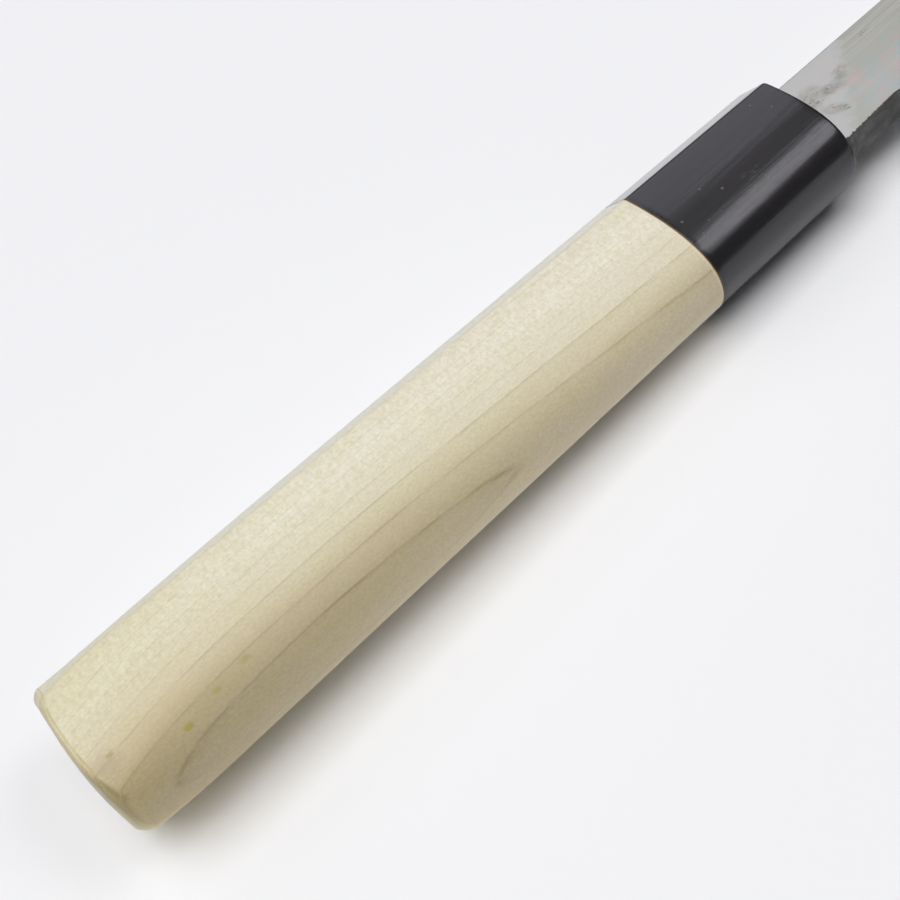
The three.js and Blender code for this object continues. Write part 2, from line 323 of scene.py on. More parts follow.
class Shader:
    """A principled material, with short calls for the nodes that feed it."""

    def __init__(self, name):
        self.material = bpy.data.materials.new(name)
        self.material.use_nodes = True
        self.tree = self.material.node_tree
        self.bsdf = self.tree.nodes["Principled BSDF"]

    def put(self, value, socket):
        """Links a socket, or sets a plain value."""
        if isinstance(value, bpy.types.NodeSocket):
            self.tree.links.new(value, socket)
        elif value is not None:
            is_colour = socket.type == "RGBA" and len(value) == 3
            socket.default_value = (*value, 1.0) if is_colour else value

    def node(self, kind, inputs=(), **settings):
        made = self.tree.nodes.new("ShaderNode" + kind)
        for key, value in settings.items():
            setattr(made, key, value)
        for key, value in dict(inputs).items():
            self.put(value, made.inputs[key])
        return made

    def math(self, operation, a, b=None, c=None):
        made = self.node("Math", operation=operation)
        for value, socket in zip((a, b, c), made.inputs):
            self.put(value, socket)
        return made.outputs[0]

    def times(self, a, b):
        return self.math("MULTIPLY", a, b)

    def vector(self, operation, a, b=None):
        made = self.node("VectorMath", operation=operation)
        self.put(a, made.inputs[0])
        self.put(b, made.inputs[1])
        return made.outputs["Value" if operation in ("DOT_PRODUCT", "LENGTH") else "Vector"]

    def dot(self, a, b):
        return self.vector("DOT_PRODUCT", a, b)

    def knife_space(self):
        """Place on the level knife in millimetres."""
        coords = self.node("TexCoord").outputs["Object"]
        mapping = self.node("Mapping", {"Vector": coords})
        mapping.inputs["Location"].default_value = LEVEL.to_translation()
        mapping.inputs["Rotation"].default_value = LEVEL.to_euler()
        mapping.inputs["Scale"].default_value = LEVEL.to_scale()
        return mapping.outputs[0]

    def scaled(self, place, size, offset=(0, 0, 0)):
        """Place measured in steps of size (x, y, z) millimetres."""
        inputs = {"Vector": place, "Scale": [1 / s for s in size], "Location": offset}
        return self.node("Mapping", inputs).outputs[0]

    def noise(self, place, size, detail=2.0, roughness=0.5, offset=(0, 0, 0)):
        """Noise from 0 to 1 whose features are about size (x, y, z) millimetres."""
        inputs = {"Vector": self.scaled(place, size, offset), "Scale": 1.0, "Detail": detail,
                  "Roughness": roughness}
        return self.node("TexNoise", inputs).outputs["Fac"]

    def cells(self, place, size):
        """Distance from points scattered about size millimetres apart, in shares of it, and their colours."""
        made = self.node("TexVoronoi", {"Vector": self.scaled(place, size), "Scale": 1.0})
        return made.outputs["Distance"], made.outputs["Color"]

    def ramp(self, value, stops):
        """Number or colour by value, from (place, number or colour) stops."""
        made = self.node("ValToRGB", {"Fac": value})
        elements = made.color_ramp.elements
        while len(elements) < len(stops):
            elements.new(1.0)
        for element, (place, tone) in zip(elements, stops):
            element.position = place
            element.color = (tone, tone, tone, 1) if isinstance(tone, (int, float)) else (*tone, 1)
        return made.outputs["Color"]

    def spread(self, value, low, high, to_low=0.0, to_high=1.0, kind="LINEAR"):
        """Value taken from the range low to high into another, held at its ends."""
        made = self.node("MapRange", {"Value": value, "From Min": low, "From Max": high,
                                      "To Min": to_low, "To Max": to_high}, interpolation_type=kind)
        return made.outputs["Result"]

    def smooth(self, value, low, high, to_low=0.0, to_high=1.0):
        """As spread, with soft ends."""
        return self.spread(value, low, high, to_low, to_high, "SMOOTHSTEP")

    def pulse(self, value, centre, half_width):
        """1 at the centre, falling smoothly to 0 at half_width on both sides."""
        away = self.math("ABSOLUTE", self.math("SUBTRACT", value, centre))
        return self.smooth(away, 0.0, half_width, 1.0, 0.0)

    def mix(self, share, a, b, blend="MIX"):
        made = self.node("Mix", data_type="RGBA", blend_type=blend)
        self.put(share, made.inputs["Factor"])
        self.put(a, made.inputs[6])
        self.put(b, made.inputs[7])
        return made.outputs[2]

    def tint(self, share, colour, tone):
        """Colour multiplied by a tone, as far as share says."""
        return self.mix(share, colour, tone, "MULTIPLY")

    def bump(self, height, distance, strength, normal=None):
        made = self.node("Bump", {"Height": height, "Distance": distance, "Strength": strength})
        self.put(normal, made.inputs["Normal"])
        return made.outputs[0]

    def curve(self, value, points):
        """Straight-sided curve through (place, result) points from 0 to 1."""
        made = self.node("FloatCurve", {"Value": value})
        line = made.mapping.curves[0]
        line.points[0].location, line.points[1].location = points[0], points[-1]
        for place in points[1:-1]:
            line.points.new(*place)
        for point in line.points:
            point.handle_type = "VECTOR"
        made.mapping.update()
        return made.outputs[0]

    def finish(self, **inputs):
        """Sets the principled shader's inputs, given with underscores for spaces."""
        for key, value in inputs.items():
            self.put(value, self.bsdf.inputs[key.replace("_", " ")])
        return self.material


# Noises below are given as size (x, y, z) in millimetres, detail and roughness. Ranges are given as
# low and high, and what these become.

# Wood: growth layers lie across the section at an angle, bowed along the handle, so that they cut the
# crown in long lines and one closed oval.
LAYER_ANGLE = -1.0856
LAYER_MIDDLE = (-97.518, -0.35, 0)
LAYER_BOW = 0.8663e-3
LAYER_SKEW = -0.7315e-5
LAYER_CURVE = 2.481e-2
LAYER_TWIST = -0.1058e-2
SWAY_NOISE, SWAY = ((26, 3.2, 3.2), 2.0), 0.30
SEEN_RINGS = (-0.4, 1.1, 2.05, 3.0, 3.95, 5.2, 6.68, 8.55, 10.22, 12.1)
INNER_RING = 0.98
RING_LOW, RING_HIGH = -24.0, 14.0

# Colour by depth through the layers, at three places along the handle: the wood's own pale and olive zones,
# and painted shade that darkens it further towards the handle's edge side
REAR_WOOD = (
    (-0.5, (0.745, 0.688, 0.500)), (2.5, (0.776, 0.728, 0.552)),
    (4.6, (0.708, 0.637, 0.464)), (6.6, (0.608, 0.523, 0.331)),
    (7.8, (0.519, 0.426, 0.245)), (8.6, (0.426, 0.345, 0.180)), (10.2, (0.410, 0.344, 0.210)),
)
MIDDLE_WOOD = (
    (-0.5, (0.792, 0.745, 0.602)), (2.5, (0.823, 0.780, 0.648)),
    (4.6, (0.773, 0.720, 0.567)), (6.6, (0.696, 0.641, 0.474)),
    (7.8, (0.600, 0.533, 0.354)), (8.6, (0.533, 0.453, 0.286)), (10.2, (0.486, 0.414, 0.262)),
)
FRONT_WOOD = (
    (-0.5, (0.795, 0.748, 0.628)), (2.5, (0.826, 0.781, 0.658)),
    (4.6, (0.780, 0.722, 0.588)), (6.6, (0.729, 0.670, 0.514)),
    (6.75, (0.691, 0.623, 0.455)), (8.5, (0.632, 0.551, 0.385)), (10.2, (0.594, 0.511, 0.354)),
)
WOOD_ALONG = ((-125.0, REAR_WOOD), (-92.0, MIDDLE_WOOD), (-45.0, FRONT_WOOD))

# Ring lines: strength by depth, its course across one layer, its breaks, and its fading where the lower edge
# is painted lighter
RING_TINT = (0.66, 0.62, 0.52)
RING_STRENGTH = ((5.6, 0.40), (6.4, 0.68), (9.3, 0.70), (10.0, 0.95))
LATE_WOOD = ((0, 1.0), (0.04, 0.38), (0.16, 0.10), (0.93, 0.0), (0.97, 0.5), (0.99, 1.0))
BREAK_NOISE, BREAKS = ((9, 0.8, 0.8), 3.0), (0.33, 0.62, 0.3, 1.0)
LINE_FADE = (0.2, 0.9, 1.0, 0.25)
# Painted bounce light from the floor on the handle's lower edge, lifting the painted shade there: where it
# starts and is full across the layers, where it fades along x
BOUNCE_LIT_EDGE, BOUNCE_LIT_TINT = (-1.5, -7.0), (1.32, 1.32, 1.36)
BOUNCE_LIT_FADE = (-80.0, -50.0, 1.0, 0.25)
# Facet beyond the ridge: painted sheen, lighter and bluer where it reflects the pale floor
FACET_SHEEN_TINT, FACET_SHEEN_BLEND = (1.045, 1.08, 1.17), 1.5

# Fine grain: speckle, fibres, ray flecks where the layers stand up to the surface, and clouds
SPECKLE_NOISE = ((0.5, 0.32, 0.32), 1.0, 0.5)
SPECKLE_DARK, SPECKLE_LIGHT = (0.938, 0.938, 0.93), (1.056, 1.056, 1.056)
FIBRE_NOISE, FIBRES = ((7, 0.16, 0.16), 3.0, 0.65), (0.3, 0.75, 0.0, 0.30)
FIBRE_TINT = (0.88, 0.86, 0.80)
FLECK_NOISE, FLECKS = ((0.55, 1.8, 0.6), 1.0, 0.4), (0.36, 0.64)
FLECK_DEPTHS, FLECK_TINT = (3.2, 6.4, 1.0, 0.0), (0.928, 0.922, 0.868)
CLOUD_NOISE, CLOUDS = ((5, 2.6, 2.6), 3.0), (0.35, 0.7, 0.0, 0.7)
CLOUD_TINT = (0.985, 0.975, 0.91)
FIBRE_RELIEF, SPECKLE_RELIEF = 0.6, 0.4
WOOD_ROUGHNESS, WOOD_BUMP = (0.5, 0.68), (0.00006, 0.5)

# Resin spots on the crown: place, size along and across the grain, strength, colour
SPOT_OLIVE = (0.33, 0.285, 0.052)
SPOT_BROWN = (0.24, 0.18, 0.085)
SPOT_AMBER = (0.55, 0.36, 0.15)
WOOD_SPOTS = (
    ((-119.9, -9.1, 4.6), 1.1, 0.6, 0.92, SPOT_OLIVE),
    ((-129.0, -5.3, 6.3), 0.9, 0.6, 0.55, SPOT_OLIVE),
    ((-114.5, -8.2, 5.1), 1.1, 0.5, 0.68, SPOT_OLIVE),
    ((-109.4, -7.7, 5.3), 1.2, 0.6, 0.5, SPOT_OLIVE),
    ((-114.0, -8.4, 5.0), 8.0, 1.7, 0.16, SPOT_OLIVE),
    ((-131.2, -10.2, 3.8), 1.0, 0.9, 0.75, SPOT_BROWN),
    ((-130.4, -6.1, 6.0), 3.6, 2.8, 0.26, SPOT_BROWN),
    ((-131.8, -5.4, 6.25), 0.6, 0.6, 0.5, SPOT_AMBER),
)
# A spot's full core as a share of its size, and how ragged its rim is
SPOT_CORE, SPOT_NOISE, SPOT_RAGGED = 0.25, ((0.8, 0.4, 0.4),), 0.9

# Marks of the mesh round the butt: ON_END on the end, 1 to 0 across its rim, negative along the side
RIM_MARK, ON_END = "rim", 2.0
END_NOISE, END_TINT, END_BLEND = ((3, 0.3, 0.3), 3.0), (0.80, 0.76, 0.66), (1.0, 1.2)
# The rim from its crease outwards, at the top and at the low corner, where the crease ends: warm like the end
# grain next to the crease, then painted shade, grey towards the end and darkest at the low corner
RIM_INNER, RIM_END_SHADE = (0.84, 0.79, 0.67), (0.72, 0.72, 0.72)
LOW_RIM, LOW_CORNER_SHADE = (-3.5, -9.0), (0.64, 0.62, 0.465)
RIM_BLEND, RIM_ACROSS = (0.0, 0.2), (0.2, 0.8)
# The crease: its middle and half width, where across the handle it runs outwards, how far, where it ends
CREASE, CREASE_OLIVE, CREASE_BROWN = (-0.15, 0.28), (0.42, 0.34, 0.12), (0.24, 0.19, 0.07)
CREASE_TURNS, CREASE_SHIFT = (-5.0, -7.8), -0.55
CREASE_ENDS = (-9.0, -10.1)
WEAR_NOISE, WEAR, TURNED_WEAR = ((2, 2.6, 2.6), 3.0), (0.3, 0.65, 0.2, 0.7), 0.55
# Glue at the joint and the pale line behind it, as distances from the joint and a strength
GLUE_BROWN, GLUE_FROM, GLUE_TO, GLUE_STRENGTH = (0.42, 0.25, 0.09), 0.16, 0.04, 0.8
GLUE_LINE, LINE_MIDDLE, LINE_HALF, LINE_STRENGTH = (0.83, 0.74, 0.55), 0.32, 0.22, 0.5


def layer_depth(s, place):
    """Depth in millimetres through the growth layers, and the place out from and across their middle."""
    normal = (0, math.sin(LAYER_ANGLE), math.cos(LAYER_ANGLE))
    side = (0, math.cos(LAYER_ANGLE), -math.sin(LAYER_ANGLE))
    away = s.vector("SUBTRACT", place, LAYER_MIDDLE)
    out, across, along = s.dot(away, normal), s.dot(away, side), s.dot(away, ALONG)
    bow = s.times(s.times(along, along), s.math("MULTIPLY_ADD", along, -LAYER_SKEW, -LAYER_BOW))
    curve = s.times(s.times(across, across), LAYER_CURVE)
    twist = s.times(s.times(along, across), LAYER_TWIST)
    return s.math("ADD", s.math("ADD", out, bow), s.math("ADD", curve, twist)), out, across


def ring_lines():
    """Depth of every ring line, from the handle's spine side to its edge side."""
    inner = np.arange(SEEN_RINGS[0] - INNER_RING, RING_LOW, -INNER_RING)[::-1]
    return [*inner, *SEEN_RINGS]


def ring_share(depth):
    """Share of the ring range at a depth."""
    return (depth - RING_LOW) / (RING_HIGH - RING_LOW)


def by_depth(s, share, stops):
    """Number or colour from stops given by depth, at a share of the ring range."""
    return s.ramp(share, [(ring_share(depth), tone) for depth, tone in stops])


def wood_zones(s, x, share):
    """Colour of the wood by its depth through the layers and its place along the handle, darkened towards the
    edge side of the crown as painted shade.
    """
    places = [at for at, _ in WOOD_ALONG]
    zones = [by_depth(s, share, stops) for _, stops in WOOD_ALONG]
    colour = zones[0]
    for low, high, zone in zip(places, places[1:], zones[1:]):
        colour = s.mix(s.spread(x, low, high), colour, zone)
    return colour


def ring_line(s, place, share):
    """Strength of the late-wood line that ends each growth layer."""
    lines = ring_lines()
    layers = len(lines) + 1
    points = [(ring_share(depth), (i + 1) / layers) for i, depth in enumerate(lines)]
    phase = s.times(s.curve(share, [(0, 0), *points, (1, 1)]), float(layers))
    late = s.ramp(s.math("FRACT", phase), LATE_WOOD)
    broken = s.spread(s.noise(place, *BREAK_NOISE), *BREAKS)
    return s.times(s.times(late, by_depth(s, share, RING_STRENGTH)), broken)


def add_grain(s, x, place, depth, radial, tangential, colour):
    """Speckle, fibres, ray flecks and tinted clouds, and the relief of the grain."""
    speckle = s.noise(place, *SPECKLE_NOISE)
    colour = s.tint(1.0, colour, s.mix(s.spread(speckle, *NOISE_SPAN), SPECKLE_DARK, SPECKLE_LIGHT))
    fibre = s.noise(place, *FIBRE_NOISE)
    colour = s.tint(s.spread(fibre, *FIBRES), colour, FIBRE_TINT)
    ray_place = s.node("CombineXYZ", {"X": x, "Y": radial, "Z": tangential}).outputs[0]
    fleck = s.times(s.spread(s.noise(ray_place, *FLECK_NOISE), *FLECKS), s.smooth(depth, *FLECK_DEPTHS))
    colour = s.tint(fleck, colour, FLECK_TINT)
    colour = s.tint(s.spread(s.noise(place, *CLOUD_NOISE), *CLOUDS), colour, CLOUD_TINT)
    return colour, s.math("ADD", s.times(fibre, FIBRE_RELIEF), s.times(speckle, SPECKLE_RELIEF))


def spot(s, place, at, along, across):
    """1 in the middle of a small spot, falling to 0 at its ragged rim."""
    away = s.vector("SUBTRACT", place, at)
    away = s.vector("MULTIPLY", away, (1 / along, 1 / across, 1 / across))
    ragged = s.math("MULTIPLY_ADD", s.noise(place, *SPOT_NOISE), SPOT_RAGGED, -SPOT_RAGGED / 2)
    near = s.math("ADD", s.vector("LENGTH", away), ragged)
    return s.smooth(near, SPOT_CORE, 1.0, 1.0, 0.0)


def add_spots(s, place, colour):
    """Resin spots, drawn out along the grain."""
    for at, along, across, strength, tone in WOOD_SPOTS:
        colour = s.mix(s.times(spot(s, place, at, along, across), strength), colour, tone)
    return colour


def add_ends(s, x, place, colour):
    """Darker end grain on the butt, painted shade on its rim, a rubbed crease, and the glue line at the
    joint.
    """
    rim = s.node("Attribute", attribute_name=RIM_MARK).outputs["Fac"]
    y = s.dot(place, ACROSS)
    end = s.mix(s.noise(place, *END_NOISE), END_TINT, PLAIN)
    colour = s.tint(s.spread(rim, *END_BLEND), colour, end)
    # Painted shade on the rim: greyer towards the end, darkest at the low corner
    low = s.smooth(y, *LOW_RIM)
    inner, outer = s.mix(low, RIM_INNER, PLAIN), s.mix(low, RIM_END_SHADE, LOW_CORNER_SHADE)
    colour = s.tint(s.spread(rim, *RIM_BLEND), colour, s.mix(s.spread(rim, *RIM_ACROSS), inner, outer))
    turned = s.spread(y, *CREASE_TURNS)
    crease = s.pulse(s.math("MULTIPLY_ADD", turned, CREASE_SHIFT, rim), *CREASE)
    worn = s.spread(s.noise(place, *WEAR_NOISE), *WEAR)
    worn = s.math("MAXIMUM", worn, s.times(turned, TURNED_WEAR))
    worn = s.times(worn, s.spread(y, *CREASE_ENDS, 1.0, 0.0))
    colour = s.mix(s.times(crease, worn), colour, s.mix(turned, CREASE_OLIVE, CREASE_BROWN))
    line = s.times(s.pulse(x, JOINT_X - LINE_MIDDLE, LINE_HALF), LINE_STRENGTH)
    colour = s.mix(line, colour, GLUE_LINE)
    glue = s.spread(x, JOINT_X - GLUE_FROM, JOINT_X - GLUE_TO, 0.0, GLUE_STRENGTH)
    return s.mix(glue, colour, GLUE_BROWN)


def wood_material():
    """Bare sanded magnolia."""
    s = Shader("magnolia_wood")
    place = s.knife_space()
    x = s.dot(place, ALONG)
    depth, radial, tangential = layer_depth(s, place)
    sway = s.math("SUBTRACT", s.noise(place, *SWAY_NOISE), 0.5)
    depth = s.math("MULTIPLY_ADD", sway, SWAY, depth)
    share = s.spread(depth, RING_LOW, RING_HIGH)
    # The wood's own zones, with painted shade on the edge side
    colour = wood_zones(s, x, share)
    # Painted bounce light from the floor, lighter and bluer towards the lower edge, strongest at the rear
    edge = s.smooth(tangential, *BOUNCE_LIT_EDGE)
    colour = s.tint(s.times(edge, s.spread(x, *BOUNCE_LIT_FADE)), colour, BOUNCE_LIT_TINT)
    line = s.times(ring_line(s, place, share), s.spread(edge, *LINE_FADE))
    colour = s.tint(line, colour, RING_TINT)
    # Painted sheen on the facet past the ridge
    facet = s.spread(s.dot(place, RIDGE_WAY), RIDGE_Y, RIDGE_Y + FACET_SHEEN_BLEND)
    colour = s.tint(facet, colour, FACET_SHEEN_TINT)
    colour, height = add_grain(s, x, place, depth, radial, tangential, colour)
    colour = add_spots(s, place, colour)
    colour = add_ends(s, x, place, colour)
    return s.finish(Base_Color=colour, Roughness=s.spread(height, *NOISE_SPAN, *WOOD_ROUGHNESS),
                    Specular_IOR_Level=0.35, Coat_Weight=0.35, Coat_Roughness=0.28,
                    Normal=s.bump(height, *WOOD_BUMP))


# Horn: black with brownish streaks, pale specks and pits, and a brown rim at the joint
HORN_BLACK, HORN_STREAK = (0.0145, 0.0140, 0.0165), (0.020, 0.017, 0.016)
HORN_STREAK_NOISE, HORN_STREAKS = ((14, 1.1, 1.1), 3.0, 0.55), (0.4, 0.75)
HORN_SPECK, SPECK_STRENGTH = (0.20, 0.19, 0.18), 0.35
SPECK_SPACING, SPECK_CHANCE, SPECK_SIZE = (2.6, 1.9, 1.9), 0.72, (0.03, 0.075, 1.0, 0.0)
HORN_RIM, RIM_WIDTH = (0.16, 0.085, 0.03), (0.05, 0.2, 0.55, 0.0)
# Pits seen on the ferrule's top, and a patch of short scratches: middle, size along and across
HORN_PITS = (
    (-4.95, 3.43, 8.17), (-3.42, 0.71, 7.99), (-20.74, -1.57, 7.62),
    (-18.65, -3.79, 7.11), (-26.45, -3.55, 7.15), (-25.69, -6.7, 5.98),
)
PIT_SIZE = 0.30
HORN_SCRATCHES = ((-14.1, -5.4, 6.5), 3.4, 2.0)
DASH_NOISE, DASHES, DASH_STRENGTH = ((1.8, 0.3, 0.3), 2.0, 0.6), (0.56, 0.68), 0.22
# Roughness: fine unevenness, fibres and pits, less on the polished facet, which has a coat
POLISH_NOISE, POLISH = ((1.2, 0.5, 0.5), 3.0, 0.6), (0.14, 0.20)
HORN_FIBRE_NOISE, HORN_FIBRES = ((16, 0.4, 0.4), 3.0, 0.6), (0.35, 0.65, 0.0, 0.08)
PIT_ROUGHNESS = 0.3
HORN_FACET, FACET_ROUGHNESS, FACET_COAT = (0.2, 0.7), 0.35, 0.3
# Relief: long waves, and fine scratches and pits on them
WAVE_NOISE, WAVE_BUMP = ((24, 1.5, 1.5), 2.0, 0.55), (0.00005, 0.8)
SCRATCH_NOISE, SCRATCH_RELIEF, PIT_RELIEF = ((9, 0.12, 0.12), 2.0, 0.7), 0.35, -0.8
HORN_BUMP = (0.00002, 0.35)


def horn_specks(s, place):
    """1 on the scattered specks and on the pits of the top."""
    near, tint = s.cells(place, SPECK_SPACING)
    chance = s.math("GREATER_THAN", s.dot(tint, ALONG), SPECK_CHANCE)
    speck = s.times(s.spread(near, *SPECK_SIZE), chance)
    for at in HORN_PITS:
        speck = s.math("MAXIMUM", speck, spot(s, place, at, PIT_SIZE, PIT_SIZE))
    return speck


def horn_material():
    """Polished black horn."""
    s = Shader("black_horn")
    place = s.knife_space()
    colour = s.mix(s.spread(s.noise(place, *HORN_STREAK_NOISE), *HORN_STREAKS), HORN_BLACK, HORN_STREAK)
    speck = horn_specks(s, place)
    colour = s.mix(s.times(speck, SPECK_STRENGTH), colour, HORN_SPECK)
    dashes = s.spread(s.noise(place, *DASH_NOISE), *DASHES)
    dashes = s.times(dashes, spot(s, place, *HORN_SCRATCHES))
    colour = s.mix(s.times(dashes, DASH_STRENGTH), colour, HORN_SPECK)
    past_joint = s.math("ADD", s.dot(place, ALONG), FERRULE_LENGTH)
    colour = s.mix(s.spread(past_joint, *RIM_WIDTH), colour, HORN_RIM)
    rough = s.math("ADD", s.spread(s.noise(place, *POLISH_NOISE), *NOISE_SPAN, *POLISH),
                   s.spread(s.noise(place, *HORN_FIBRE_NOISE), *HORN_FIBRES))
    rough = s.math("ADD", rough, s.times(speck, PIT_ROUGHNESS))
    past_ridge = s.math("SUBTRACT", s.dot(place, RIDGE_WAY), RIDGE_Y)
    facet = s.spread(past_ridge, *HORN_FACET)
    rough = s.times(rough, s.spread(facet, 0.0, 1.0, 1.0, FACET_ROUGHNESS))
    scratch = s.times(s.noise(place, *SCRATCH_NOISE), SCRATCH_RELIEF)
    height = s.math("ADD", scratch, s.times(speck, PIT_RELIEF))
    waves = s.bump(s.noise(place, *WAVE_NOISE), *WAVE_BUMP)
    return s.finish(Base_Color=colour, Roughness=rough, IOR=1.56, Specular_Tint=(1.0, 0.985, 1.05, 1.0),
                    Coat_Weight=s.times(facet, FACET_COAT), Coat_Roughness=0.05,
                    Normal=s.bump(height, *HORN_BUMP, waves))


# Iron: brushed along the blade, plain and stained on the neck
IRON_GREY, IRON_LIGHT, IRON_DARK = (0.428, 0.432, 0.380), (0.5307, 0.5270, 0.4712), (0.3681, 0.3672, 0.3268)
BRUSH_NOISE, BRUSH_SHARE = ((26, 0.13, 0.13), 3.0, 0.6), 0.35
STREAK_NOISE, STREAK_SHARE = ((34, 0.6, 0.6), 2.0, 0.6), 0.65
STREAKS = (0.36, 0.64)
# Brushing shows near the spine from the neck on, and all over further along: where, and its shares
SPINE_BRUSHED, SPINE_STREAKS = (12.0, 18.0), (2.5, 5.0)
BRUSHED = (30.0, 55.0)
NECK_BRUSHING, BLADE_BRUSHING = 0.12, 0.75
# Roughness of the iron, more on stains, and of the hazy finish along the blade
IRON_ROUGHNESS, STAIN_ROUGHNESS, HAZE = (0.28, 0.36), 0.05, 0.13
METAL_BUMP = (0.00002, 0.3)

# Neck: paler up to a slanting ragged border, which crosses y = 0 at a place along x
IRON_CLOUD, CLOUD_BORDER, CLOUD_SLANT = (0.500, 0.502, 0.480), 10.8, 0.95
CLOUD_RAGGED, CLOUD_SOFT = 9.0, (-2.4, 1.4, 1.0, 0.0)
LOW_NECK = (-3.0, 0.5, 0.4, 0.0)
SOFT_NOISE, FINE_NOISE = ((2.2, 1.7, 1.7), 6.0, 0.68), ((0.6, 0.45, 0.45), 2.0, 0.6)
# Marks on the neck's flat: middle (x, y), half length, half width, turn towards the spine in degrees
IRON_SMUDGE, SMUDGE_NOISE, SMUDGES = (0.300, 0.285, 0.230), (0.34, 0.70), (0.02, 0.7, 0.0, 0.64)
NECK_SMUDGES = (
    ((5.2, 1.7), 4.0, 3.0, 50), ((7.8, 1.3), 3.8, 1.7, -24),
    ((5.4, -2.4), 2.8, 1.7, -50), ((11.2, 2.2), 3.0, 1.3, 24),
)
IRON_SPECK, SPECK_NOISE, SPECKS = (0.175, 0.170, 0.140), (0.53, 0.70), (0.08, 0.7, 0.0, 0.72)
NECK_SPECKS = (
    ((7.5, 1.4), 3.8, 1.25, -24), ((5.0, 1.6), 2.6, 2.0, 0), ((11.4, 2.3), 1.7, 1.0, -50),
    ((5.9, -2.8), 2.2, 1.1, -55), ((20.4, 5.2), 1.6, 0.6, 0),
)
# Faint heat tints: where they start along x, what is left on the blade, and less towards the spine
TINT_NOISE = ((3.4, 1.5, 1.5), 1.0, 0.5, (1.3, 0.7, 0))
HEAT_TINTS = ((0.36, (0.925, 1.01, 1.075)), (0.5, PLAIN), (0.64, (1.08, 0.955, 1.01)))
TINT_FROM, TINT_LEFT, TINT_SPINE = (6.0, 10.0), 0.15, (0.0, 4.0, 1.0, 0.2)


def mark(s, place, middle, length, width, turn):
    """1 in the middle of an oval on the flat, falling smoothly to 0 at its rim."""
    c, n = math.cos(math.radians(turn)), math.sin(math.radians(turn))
    away = s.vector("SUBTRACT", place, (*middle, 0))
    along = s.dot(away, (c / length, n / length, 0))
    across = s.dot(away, (-n / width, c / width, 0))
    far = s.math("ADD", s.times(along, along), s.times(across, across))
    return s.smooth(far, 0.0, 1.0, 1.0, 0.0)


def marks(s, place, ovals):
    """Several ovals together."""
    total = mark(s, place, *ovals[0])
    for oval in ovals[1:]:
        total = s.math("MAXIMUM", total, mark(s, place, *oval))
    return total


def neck_stains(s, place, x, y, colour):
    """Handling marks on the neck: a pale cloud, brown smudges, dark specks and faint heat tints."""
    soft, fine = s.noise(place, *SOFT_NOISE), s.noise(place, *FINE_NOISE)
    past = s.math("SUBTRACT", s.math("MULTIPLY_ADD", y, -CLOUD_SLANT, x), CLOUD_BORDER)
    past = s.math("MULTIPLY_ADD", s.math("SUBTRACT", soft, 0.5), CLOUD_RAGGED, past)
    share = s.times(s.spread(x, *TINT_FROM), s.spread(x, *BRUSHED, 1.0, TINT_LEFT))
    colour = s.mix(s.times(share, s.spread(y, *LOW_NECK)), colour, IRON_CLOUD)
    colour = s.mix(s.smooth(past, *CLOUD_SOFT), colour, IRON_CLOUD)
    smudge = s.times(marks(s, place, NECK_SMUDGES), s.spread(soft, *SMUDGE_NOISE))
    colour = s.mix(s.spread(smudge, *SMUDGES), colour, IRON_SMUDGE)
    speck = s.times(marks(s, place, NECK_SPECKS), s.spread(fine, *SPECK_NOISE))
    colour = s.mix(s.spread(speck, *SPECKS), colour, IRON_SPECK)
    tints = s.ramp(s.noise(place, *TINT_NOISE), HEAT_TINTS)
    colour = s.tint(s.times(share, s.spread(y, *TINT_SPINE)), colour, tints)
    return colour, s.math("MAXIMUM", smudge, speck)


def iron_material():
    """Soft iron, brushed along the blade."""
    s = Shader("brushed_iron")
    place = s.knife_space()
    x, y = s.dot(place, ALONG), s.dot(place, ACROSS)
    brush, streak = s.noise(place, *BRUSH_NOISE), s.noise(place, *STREAK_NOISE)
    tone = s.math("ADD", s.times(brush, BRUSH_SHARE), s.times(streak, STREAK_SHARE))
    streaked = s.mix(s.spread(tone, *STREAKS), IRON_DARK, IRON_LIGHT)
    near_spine = s.times(s.spread(x, *SPINE_BRUSHED), s.spread(y, *SPINE_STREAKS))
    brushed = s.math("MAXIMUM", near_spine, s.spread(x, *BRUSHED))
    colour = s.mix(s.spread(brushed, 0.0, 1.0, NECK_BRUSHING, BLADE_BRUSHING), IRON_GREY, streaked)
    colour, stain = neck_stains(s, place, x, y, colour)
    rough = s.math("ADD", s.spread(brush, *NOISE_SPAN, *IRON_ROUGHNESS), s.times(stain, STAIN_ROUGHNESS))
    rough = s.math("ADD", rough, s.spread(x, *BRUSHED, 0.0, HAZE))
    return s.finish(Base_Color=colour, Metallic=1.0, Roughness=rough, Normal=s.bump(brush, *METAL_BUMP))


SCALE_DARK, SCALE_GREY = (0.085, 0.085, 0.084), (0.150, 0.149, 0.146)
PATCH_NOISE, PATCHES = ((3, 1.5, 1.5), 3.0), (0.35, 0.65)
SCALE_NOISE, SCALE_ROUGHNESS, SCALE_BUMP = ((0.5, 0.35, 0.35), 5.0, 0.65), (0.55, 0.75), (0.00012, 0.6)


def scale_material():
    """Dark rough scale, left by the forge."""
    s = Shader("forge_scale")
    place = s.knife_space()
    grain = s.noise(place, *SCALE_NOISE)
    colour = s.mix(s.spread(s.noise(place, *PATCH_NOISE), *PATCHES), SCALE_DARK, SCALE_GREY)
    rough = s.spread(grain, *NOISE_SPAN, *SCALE_ROUGHNESS)
    return s.finish(Base_Color=colour, Roughness=rough, Metallic=0.3, Normal=s.bump(grain, *SCALE_BUMP))


STEEL_DARK, STEEL_LIGHT = (0.60, 0.605, 0.61), (0.70, 0.705, 0.71)
STEEL_NOISE, STEEL_ROUGHNESS = ((0.10, 16, 16), 3.0, 0.6), (0.24, 0.32)


